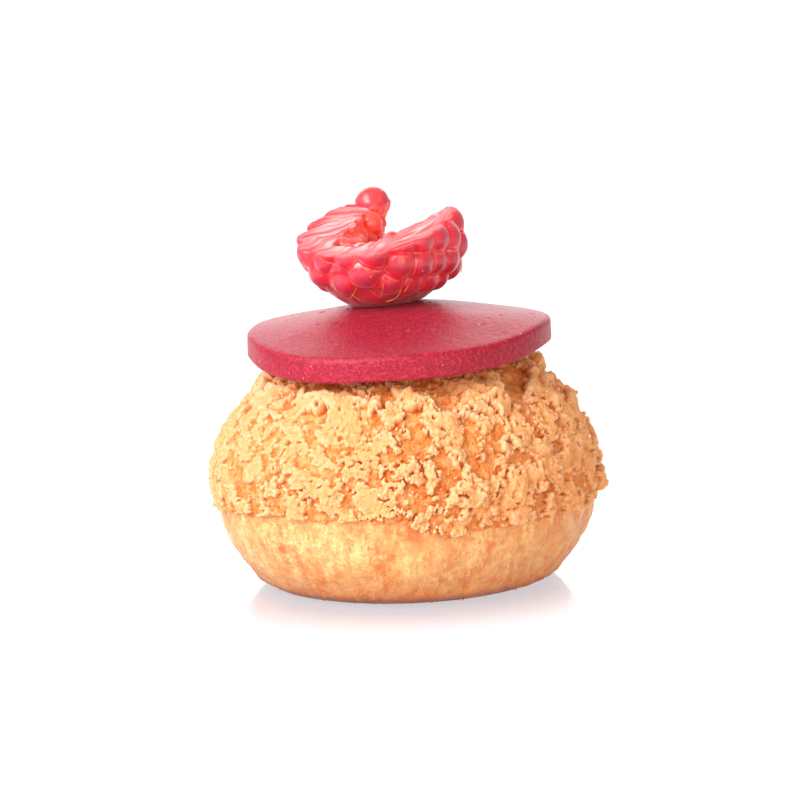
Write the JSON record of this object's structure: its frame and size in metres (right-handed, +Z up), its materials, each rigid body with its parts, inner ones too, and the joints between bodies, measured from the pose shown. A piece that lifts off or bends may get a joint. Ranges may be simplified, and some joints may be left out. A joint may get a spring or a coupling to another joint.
{
  "type": "choux bun",
  "caption": "Round choux bun with a crackled biscuit crust, a soft draped disc of red paste on its crown and half a raspberry lying cut side up on the disc.",
  "frame": {"origin": "centre of the bun's flat base, on the surface it stands on", "axes": "+Z up through the crown, +X to the right and -Y to the front as the bun is shown"},
  "size_m": [0.0568, 0.0569, 0.0547],
  "materials": {
    "choux": "baked golden crust, dry and granular above, satin below",
    "paste": "soft satin paste, finely granular",
    "raspberry": "wet and glossy, paler on the cut"
  },
  "bodies": {
    "root": {"choux_bun": "choux", "paste_disc": "paste", "raspberry_half": "raspberry"}
  },
  "joints": []
}
